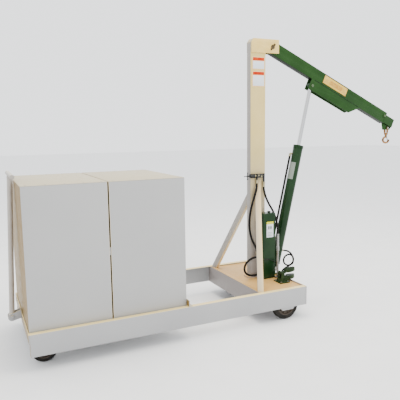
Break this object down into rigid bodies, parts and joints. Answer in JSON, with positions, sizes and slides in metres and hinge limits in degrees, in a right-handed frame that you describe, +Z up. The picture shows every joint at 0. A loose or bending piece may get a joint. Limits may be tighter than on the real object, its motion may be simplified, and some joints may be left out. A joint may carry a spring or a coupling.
{
  "type": "engine hoist crane",
  "caption": "Counterbalanced hydraulic floor crane: box-section mast and telescoping boom on a wheeled, weighted base, lifted by one ram fed by a foot pump.",
  "frame": {"origin": "middle of the crane's overall box at floor level", "axes": "+X towards the hook end, +Y to the crane's left, +Z up"},
  "size_m": [3.1524, 0.822, 1.978],
  "materials": {
    "putty_paint": "satin putty paint",
    "green_paint": "gloss dark green paint",
    "steel": "zinc plated",
    "wheel": "solid moulded wheel",
    "bronze_steel": "yellow-passivated forging",
    "chrome": "polished",
    "brass": "plated fittings",
    "black_paint": "black paint",
    "black_plastic": "matte",
    "hose_rubber": "smooth hose cover",
    "ballast": "cast concrete"
  },
  "bodies": {
    "base": {"rail_right": "putty_paint", "rail_left": "putty_paint", "rear_cross_plate": "putty_paint", "deck_cross_beam": "putty_paint", "front_end_plate": "putty_paint", "deck_plate": "putty_paint", "weight_tray": "putty_paint", "weight_cases": "putty_paint", "weight_lids": "putty_paint", "ballast_blocks": "ballast", "weight_stop": "putty_paint", "axle_brackets": "steel", "front_axles": "steel", "caster_top_plates": "steel", "mast_tube": "putty_paint", "mast_foot_plate": "putty_paint", "mast_braces": "putty_paint", "head_cheeks": "putty_paint", "head_cap": "putty_paint", "boom_pin": "steel", "pin_keeper": "steel", "ram_foot_clevis": "green_paint", "ram_foot_pin": "steel", "oil_tank": "green_paint", "tank_cap": "black_plastic", "pump_body": "green_paint", "pump_manifold": "steel", "valve_body": "black_paint", "valve_fittings": "brass", "valve_left_hose": "hose_rubber", "valve_right_hose": "hose_rubber", "tank_loop_hose": "hose_rubber", "tow_bracket": "putty_paint"},
    "boom": {"boom_tube": "green_paint", "ram_bracket_plates": "green_paint", "ram_pin_stubs": "steel", "clamp_bolt": "steel"},
    "extension": {"extension_tube": "green_paint", "tip_lug": "green_paint", "hook_pin": "steel"},
    "shackle": {"hook_shackle": "bronze_steel"},
    "hook": {"hook": "bronze_steel"},
    "latch": {"hook_latch": "black_paint"},
    "ram_barrel": {"ram_barrel": "green_paint", "ram_gland": "green_paint", "ram_ports": "brass", "ram_side_hose": "hose_rubber", "ram_feed_hose": "hose_rubber"},
    "ram_rod": {"ram_rod": "chrome"},
    "treadle": {"pump_treadle": "green_paint"},
    "plunger": {"pump_plunger": "chrome"},
    "valve_lever": {"valve_lever": "black_paint"},
    "front_wheel_right": {"front_wheel_right": "wheel"},
    "front_wheel_left": {"front_wheel_left": "wheel"},
    "caster_fork_right": {"caster_fork_right": "steel"},
    "caster_fork_left": {"caster_fork_left": "steel"},
    "caster_wheel_right": {"caster_wheel_right": "wheel"},
    "caster_wheel_left": {"caster_wheel_left": "wheel"},
    "tow_handle": {"tow_handle": "putty_paint"}
  },
  "joints": [
    {"name": "boom_lift", "type": "hinge", "parent": "base", "child": "boom", "pos_m": [0.32964, 0, 1.9245], "axis": [0, -1, 0], "range_deg": [-8, 45]},
    {"name": "boom_extension", "type": "slide", "parent": "boom", "child": "extension", "axis": [0.9118, 0, -0.4107], "range_m": [0, 0.4]},
    {"name": "shackle_swing", "type": "hinge", "parent": "extension", "child": "shackle", "pos_m": [1.50032, 0, 1.33134], "axis": [0, 1, 0], "range_deg": [-60, 60]},
    {"name": "hook_swivel", "type": "hinge", "parent": "shackle", "child": "hook", "pos_m": [1.50032, 0, 1.23134], "axis": [0, 0, 1], "continuous": true},
    {"name": "latch_open", "type": "hinge", "parent": "hook", "child": "latch", "pos_m": [1.50485, -0.00211, 1.26334], "axis": [0.4226, 0.9063, 0], "range_deg": [0, 20], "stiffness_Nm_per_rad": 0.05, "springref_deg": -11.46},
    {"name": "ram_tilt", "type": "hinge", "parent": "base", "child": "ram_barrel", "pos_m": [0.37614, 0, 0.262], "axis": [0, 1, 0], "range_deg": [-0.3, 1.1]},
    {"name": "ram_extend", "type": "slide", "parent": "ram_barrel", "child": "ram_rod", "axis": [0.224, 0, 0.9746], "range_m": [-0.065, 0.352]},
    {"name": "treadle_press", "type": "hinge", "parent": "base", "child": "treadle", "pos_m": [0.29014, -0.221, 0.284], "axis": [0, 1, 0], "range_deg": [0, 8], "stiffness_Nm_per_rad": 20, "springref_deg": -5.73},
    {"name": "plunger_stroke", "type": "slide", "parent": "base", "child": "plunger", "axis": [0, 0, -1], "range_m": [0, 0.0045]},
    {"name": "valve_turn", "type": "hinge", "parent": "base", "child": "valve_lever", "pos_m": [0.10964, -0.041, 0.992], "axis": [1, 0, 0], "range_deg": [-35, 35], "stiffness_Nm_per_rad": 0.5},
    {"name": "front_wheel_right_spin", "type": "hinge", "parent": "base", "child": "front_wheel_right", "pos_m": [0.22214, -0.366, 0.1016], "axis": [0, 1, 0], "continuous": true},
    {"name": "front_wheel_left_spin", "type": "hinge", "parent": "base", "child": "front_wheel_left", "pos_m": [0.22214, 0.366, 0.1016], "axis": [0, 1, 0], "continuous": true},
    {"name": "caster_right_swivel", "type": "hinge", "parent": "base", "child": "caster_fork_right", "pos_m": [-1.37186, -0.273, 0.076], "axis": [0, 0, 1], "continuous": true},
    {"name": "caster_left_swivel", "type": "hinge", "parent": "base", "child": "caster_fork_left", "pos_m": [-1.37186, 0.273, 0.076], "axis": [0, 0, 1], "continuous": true},
    {"name": "caster_right_roll", "type": "hinge", "parent": "caster_fork_right", "child": "caster_wheel_right", "pos_m": [-1.40686, -0.273, 0.076], "axis": [0, 1, 0], "continuous": true},
    {"name": "caster_left_roll", "type": "hinge", "parent": "caster_fork_left", "child": "caster_wheel_left", "pos_m": [-1.40686, 0.273, 0.076], "axis": [0, 1, 0], "continuous": true},
    {"name": "tow_handle_fold", "type": "hinge", "parent": "base", "child": "tow_handle", "pos_m": [-1.55586, 0, 0.204], "axis": [0, -1, 0], "range_deg": [0, 95]}
  ],
  "couplings": [
    {"joint": "ram_extend", "follows": "boom_lift", "m_per_rad": 0.44118},
    {"joint": "ram_tilt", "follows": "boom_lift", "ratio": 0.022},
    {"joint": "plunger_stroke", "follows": "treadle_press", "m_per_rad": 0.03}
  ]
}
